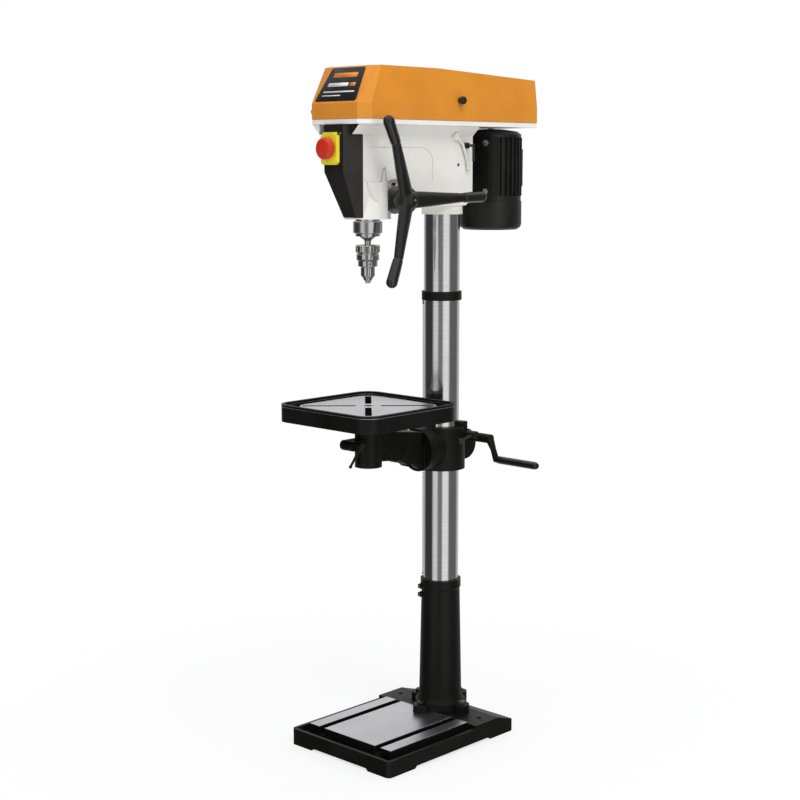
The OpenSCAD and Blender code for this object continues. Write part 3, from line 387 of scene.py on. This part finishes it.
def machined_casting(name, milled_z):
    """Black-painted iron whose faces at the height milled_z are milled bright; the rest stays painted."""
    f = Finish(name, specular=0.22)
    edge_normal, black, _, grain = cast_surface(f, *BLACK_IRON)
    off = f.math("ABSOLUTE", f.math("SUBTRACT", f.axis("Object", "Z"), milled_z))
    milled = f.span(off, 0.0003, 0.0006, 1, 0)
    marks = f.noise(1.0, 3, (700, 9, 9))
    sweep = f.span(f.noise(9, 5), 0.35, 0.72)
    silver = f.blend(f.span(marks, 0.3, 0.7), f.blend(sweep, SILVER[0], SILVER[1]), SILVER[2])
    f.join(milled, f.surface.inputs["Metallic"])
    dull = f.level(milled, smudges(f, 0.36, 0.55), f.span(sweep, 0, 1, 0.27, 0.36))
    height = f.level(milled, grain, f.math("MULTIPLY", marks, 0.12))
    return f.show(f.blend(milled, black, silver), dull, f.relief(height, 0.5, CAST_DEPTH, edge_normal))


def head_paint():
    """White enamel; the front of the flare's lug, beside the panel's right edge, is dark like the panel."""
    f = Finish("head enamel")
    edge_normal, white, mottle, grain = cast_surface(f, *WHITE)
    panel_low, panel_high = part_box("front_panel")
    right = f.math("GREATER_THAN", f.axis("Object", "X"), panel_high.x)
    ahead = f.math("LESS_THAN", f.axis("Object", "Y"), panel_low.y + LUG_SETBACK)
    lug = f.math("MULTIPLY", right, ahead)
    colours = f.blend(lug, white, f.blend(mottle, *PANEL))
    return f.show(colours, smudges(f, 0.34, 0.54), f.relief(grain, 0.22, CAST_DEPTH, edge_normal))


def steel(name, tint, shade, rough=0.22, lines=(14, 14, 900), cut=0.12, stain=0.25, ease=0.0008):
    """Bare metal with the fine parallel marks of its grinding or turning, and faint handling stains."""
    f = Finish(name, metallic=1.0)
    edge_normal, edge = f.rounded(ease)
    marks = f.noise(1.0, 3, lines)
    stains = f.span(f.noise(6, 6), 0.5, 0.75, 0, stain)
    tone = f.blend(stains, f.blend(f.span(marks, 0.3, 0.7), tint, shade), (0.32, 0.30, 0.28))
    bright = f.blend(f.math("MULTIPLY", edge, 0.5), tone, (0.93, 0.93, 0.93))
    ground = f.span(marks, 0.25, 0.75, rough - 0.04, rough + 0.06)
    dull = f.math("ADD", ground, f.math("MULTIPLY", stains, 0.5))
    return f.show(bright, dull, f.relief(marks, cut, 0.0002, edge_normal))


def plastic(name, colour, shade, rough=0.35, grain=900, depth=0.15, specular=0.5, **base):
    """Moulded plastic: fine spark-eroded grain and slightly polished edges."""
    f = Finish(name, specular=specular, **base)
    edge_normal, edge = f.rounded(0.0009)
    tone = f.blend(f.span(f.noise(30, 4), 0.35, 0.7), colour, shade)
    edge_mix = f.blend(f.math("MULTIPLY", edge, 0.25), tone, tuple(min(1, c * 1.6 + 0.02) for c in colour))
    handled = f.span(f.noise(22, 5), 0.3, 0.7, rough - 0.03, rough + 0.08)
    dull = f.math("SUBTRACT", handled, f.math("MULTIPLY", edge, 0.08))
    return f.show(edge_mix, dull, f.relief(f.cells(grain), depth, 0.0002, edge_normal))


def give(material, *names):
    for name in names:
        mesh = NODES[name].data
        mesh.materials.clear()
        mesh.materials.append(material)


give(machined_casting("base iron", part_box("base_casting")[1].z), "base_casting")
give(machined_casting("table iron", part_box("work_table")[1].z - TABLE_RIM_ABOVE_PAD), "work_table")
give(
    casting("black casting", *BLACK_IRON, specular=0.22),
    "column_support", "table_bracket", "table_arm", "rack_collar", "table_crank", "motor_mount",
)
give(
    paint("gloss black", *BLACK_GLOSS, rough=0.24, peel=0.12, ease=0.006, edge_mix=0.15),
    "feed_hub",
)
# the orange cover's edges take its lit tone strongly: a painted highlight along the edges
give(
    paint("orange powder", *ORANGE, rough=0.38, peel=0.3, grain=520, ease=0.003, edge_mix=0.8),
    "belt_cover",
)
give(head_paint(), "head_casting")
give(casting("white enamel", *WHITE, rough=0.42, pits=0.22), "belt_guard_pan")
give(plastic("dark panel", *PANEL, rough=0.42, grain=700), "front_panel")
give(
    steel("ground column", (0.80, 0.80, 0.80), (0.70, 0.70, 0.71), rough=0.14, cut=0.02, stain=0.1),
    "column",
)
give(
    steel("turned steel", (0.72, 0.72, 0.73), (0.58, 0.58, 0.59), rough=0.22, lines=(10, 10, 1100)),
    "quill", "quill_collar", "spindle", "quill_bearings", "return_spring", "motor_rotor",
)
give(
    steel("chuck steel", (0.70, 0.69, 0.67), (0.52, 0.51, 0.50), rough=0.14, lines=(10, 10, 900), cut=0.08),
    "chuck_body", "chuck_sleeve", "chuck_jaw_1", "chuck_jaw_2", "chuck_jaw_3",
)
give(
    steel("cross-turned steel", (0.66, 0.66, 0.66), (0.50, 0.50, 0.50), rough=0.26, lines=(1000, 12, 12)),
    "feed_shaft", "worm_shaft", "elevation_gear", "idler_post",
)
give(
    steel("satin scale", (0.86, 0.86, 0.86), (0.74, 0.74, 0.74), rough=0.34, lines=(900, 12, 12), stain=0.1),
    "depth_ring",
)
give(
    steel("rack steel", (0.30, 0.30, 0.30), (0.20, 0.20, 0.20), rough=0.34, lines=(500, 500, 12)),
    "table_rack",
)
give(
    steel("bright zinc", (0.74, 0.75, 0.77), (0.60, 0.61, 0.63), rough=0.24, lines=(60, 60, 60), stain=0.4),
    "cover_hinge_pins", "tilt_bolt", "motor_bolts", "spring_nuts",
)
give(
    steel("blackened steel", (0.10, 0.10, 0.10), (0.05, 0.05, 0.05), 0.34, lines=(60, 60, 60), stain=0.4),
    "flange_bolts", "column_set_screws",
)
give(
    steel("pulley alloy", (0.62, 0.63, 0.65), (0.50, 0.51, 0.53), rough=0.32, lines=(8, 8, 700)),
    "spindle_pulley", "idler_pulley", "motor_pulley",
)
give(
    plastic("black plastic", (0.010, 0.010, 0.009), (0.016, 0.016, 0.015), rough=0.38),
    "cover_knob", "switch_base", "cable_gland", "depth_lock_screw", "spring_housing",
)
give(
    plastic("gloss grip", (0.007, 0.007, 0.0065), (0.010, 0.010, 0.010), rough=0.17, depth=0.03, coat=0.6),
    "feed_grips", "crank_grip",
)
give(
    paint("black lever", *BLACK_LEVER, rough=0.3, peel=0.1),
    "motor_lock_handle", "table_lock_lever", "bracket_lock_lever",
)
give(paint("white lever", *WHITE_LEVER, rough=0.32, peel=0.1), "tension_lever")
give(
    plastic("yellow flap", (0.86, 0.73, 0.035), (0.80, 0.66, 0.03), rough=0.3, depth=0.08, coat=0.3),
    "switch_flap",
)
give(
    plastic("red button", (0.60, 0.028, 0.008), (0.52, 0.02, 0.006), rough=0.26, depth=0.05, coat=0.4),
    "stop_mushroom", "stop_button",
)
give(plastic("green button", (0.02, 0.26, 0.05), (0.015, 0.21, 0.04), rough=0.28), "start_button")
give(
    plastic(
        "belt rubber", (0.012, 0.012, 0.012), (0.022, 0.021, 0.02),
        rough=0.7, grain=500, depth=0.4, specular=0.3,
    ),
    "spindle_belt", "motor_belt",
)
give(
    casting("motor black", *BLACK_MOTOR, rough=0.38, pits=0.3, specular=0.45),
    "motor_housing", "motor_fan_cover", "capacitor_box",
)


# ---------- small pieces that the CAD model leaves out ----------


def piece(name, rings, material, body):
    """A closed form stitched through rings of points, finished, that rides one body."""
    form = bmesh.new()
    loops = [[form.verts.new(point) for point in ring] for ring in rings]
    for low, high in zip(loops, loops[1:]):
        for i in range(len(low)):
            form.faces.new((low[i - 1], low[i], high[i], high[i - 1]))
    form.faces.new(loops[-1])
    form.faces.new(list(reversed(loops[0])))
    mesh = bpy.data.meshes.new(name)
    form.to_mesh(mesh)
    form.free()
    for face in mesh.polygons:
        face.use_smooth = True
    mesh.materials.append(material)
    item = bpy.data.objects.new(name, mesh)
    bpy.context.scene.collection.objects.link(item)
    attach(item, body)


def frame_on(normal, upward):
    """Across, along and out directions of a face with that outward normal."""
    out = normal.normalized()
    along = (upward - out * upward.dot(out)).normalized()
    return along.cross(out), along, out


def rounded_outline(corners, radius, steps=6):
    """A convex outline, corners listed anticlockwise, with each corner rounded off."""
    points = []
    count = len(corners)
    for i, corner in enumerate(corners):
        here = Vector(corner)
        back = (Vector(corners[i - 1]) - here).normalized()
        ahead = (Vector(corners[(i + 1) % count]) - here).normalized()
        half = back.angle(ahead) / 2
        start = here + back * radius / math.tan(half)
        end = here + ahead * radius / math.tan(half)
        centre = here + (back + ahead).normalized() * radius / math.sin(half)
        for k in range(steps + 1):
            spoke = (start - centre).lerp(end - centre, k / steps)
            points.append(centre + spoke.normalized() * radius)
    return points


def plate(name, origin, face, outline, thickness, lip, material):
    """A thin plate on a flat face of the cover: a wall, then an eased edge, then the flat top."""
    across, along, out = face
    middle = sum(outline, Vector((0, 0))) / len(outline)

    def level(shrink, height):
        spots = [point + (middle - point).normalized() * shrink for point in outline]
        return [origin + across * spot.x + along * spot.y + out * height for spot in spots]

    rings = [
        level(0, 0), level(0, thickness - lip),
        level(lip * 0.35, thickness - lip * 0.3), level(lip, thickness),
    ]
    piece(name, rings, material, BODY_OF["belt_cover"])


# a domed head from its rim inwards: share of the radius, share of the height
DOME = ((1.0, 0.0), (1.0, 0.35), (0.93, 0.6), (0.78, 0.82), (0.6, 0.94), (0.42, 1.0), (0.2, 1.0))
# the cross recess, in shares of the head's radius and height
RECESS_HALF_WIDTH = 0.13
RECESS_REACH = 0.55
RECESS_DEPTH = 0.5
HEAD_SEGMENTS = 48
SCREW_STEEL = steel("screw steel", (0.62, 0.62, 0.63), (0.5, 0.5, 0.51), 0.25, (70, 70, 70), ease=0.0003)


def screw_head(name, origin, normal, radius, height, body):
    """A domed screw head with a cross recess pressed into it, the cross a little off the upright."""
    across, along, out = frame_on(normal, Vector((0.03, 0.05, 1)))
    rings = []
    for share, rise in DOME:
        spots = []
        for i in range(HEAD_SEGMENTS):
            angle = 2 * math.pi * i / HEAD_SEGMENTS
            x, y = math.cos(angle) * share, math.sin(angle) * share
            pressed = min(abs(x), abs(y)) < RECESS_HALF_WIDTH and max(abs(x), abs(y)) < RECESS_REACH
            lift = (rise - RECESS_DEPTH * pressed) * height
            spots.append(origin + (across * x + along * y) * radius + out * lift)
        rings.append(spots)
    piece(name, rings, SCREW_STEEL, body)


# the plate on the front slope of the cover, with plain bars in place of lettering
CREASE_Z = 1.624
CROWN_Y = -0.187
LABEL_FOOT_HALF_WIDTH = 70 * MM
LABEL_HEAD_HALF_WIDTH = 56 * MM
LABEL_FOOT_MARGIN = 5 * MM
LABEL_HEAD_MARGIN = 4 * MM
LABEL_CORNER = 6 * MM
LABEL_LIFT = 0.12 * MM
LABEL_THICK = 0.6 * MM
LABEL_EDGE = 0.3 * MM
BAR_CORNER = 1.2 * MM
BAR_SINK = 0.05 * MM
BAR_THICK = 0.25 * MM
BAR_EDGE = 0.1 * MM

cover_low, cover_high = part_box("belt_cover")
crease = Vector((0, cover_low.y, CREASE_Z))
slope = Vector((0, CROWN_Y, cover_high.z)) - crease
slope_face = frame_on(Vector((0, -slope.z, slope.y)), Vector((0, 0, 1)))
label_foot = crease + slope_face[2] * LABEL_LIFT
label_low, label_high = LABEL_FOOT_MARGIN, slope.length - LABEL_HEAD_MARGIN
label_black = plastic("label black", (0.011, 0.010, 0.010), (0.015, 0.014, 0.013), 0.3, 1500, 0.03)
label_orange = plastic("label orange", (0.80, 0.24, 0.02), (0.76, 0.22, 0.018), 0.32, 1500, 0.03)
label_white = plastic("label white", (0.80, 0.80, 0.78), (0.74, 0.74, 0.72), 0.32, 1500, 0.03)
plate(
    "cover_label", label_foot, slope_face,
    rounded_outline(
        [
            (-LABEL_FOOT_HALF_WIDTH, label_low), (LABEL_FOOT_HALF_WIDTH, label_low),
            (LABEL_HEAD_HALF_WIDTH, label_high), (-LABEL_HEAD_HALF_WIDTH, label_high),
        ],
        LABEL_CORNER,
    ),
    LABEL_THICK, LABEL_EDGE, label_black,
)
# each bar: its left, right, lower and upper edges in millimetres, on the slope from the crease
bars = [
    ("bar_top", (-40, 40, 71, 84), label_orange, "cover_orange"),
    ("bar_middle", (-46, 22, 46, 56), label_white, "head_white"),
    ("bar_short", (28, 46, 46, 56), label_orange, "cover_orange"),
    ("bar_low", (-52, 52, 29, 33), label_white, "head_white"),
    ("bar_foot", (-52, 10, 19, 22), label_white, "head_white"),
]
label_top = label_foot + slope_face[2] * (LABEL_THICK - BAR_SINK)
for name, edges, material, slot in bars:
    left, right, low, high = (edge * MM for edge in edges)
    outline = rounded_outline([(left, low), (right, low), (right, high), (left, high)], BAR_CORNER)
    plate(name, label_top, slope_face, outline, BAR_THICK, BAR_EDGE, material)

# screws through the cover's lower band, and the screw in the middle of the feed hub
COVER_SCREW = (4.5 * MM, 2.2 * MM)
COVER_SCREW_Z = 1.606
COVER_SCREW_FRONT = (-0.089, -0.2275)
COVER_SCREW_REAR_X = 0.084
CORNER_PROUD = 0.8 * MM
REAR_SINK = 0.1 * MM
HUB_SCREW = (4.2 * MM, 1.4 * MM)
HUB_SCREW_X = 0.12

corner_way = Vector((-25, -24, 0)).normalized()
corner = Vector((*COVER_SCREW_FRONT, COVER_SCREW_Z)) + corner_way * CORNER_PROUD
rear_way = Vector((0, 1, 0))
rear_y = cover_high.y - REAR_SINK
for name, place, normal in (
    ("cover_screw_front", corner, corner_way),
    ("cover_screw_rear", Vector((COVER_SCREW_REAR_X, rear_y, COVER_SCREW_Z)), rear_way),
    ("cover_screw_rear_left", Vector((-COVER_SCREW_REAR_X, rear_y, COVER_SCREW_Z)), rear_way),
):
    screw_head(name, place, normal, *COVER_SCREW, BODY_OF["belt_cover"])
ring_low, ring_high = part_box("depth_ring")
hub_centre = (ring_low + ring_high) / 2
hub_centre.x = HUB_SCREW_X
screw_head("hub_screw", hub_centre, Vector((1, 0, 0)), *HUB_SCREW, BODY_OF["feed_hub"])
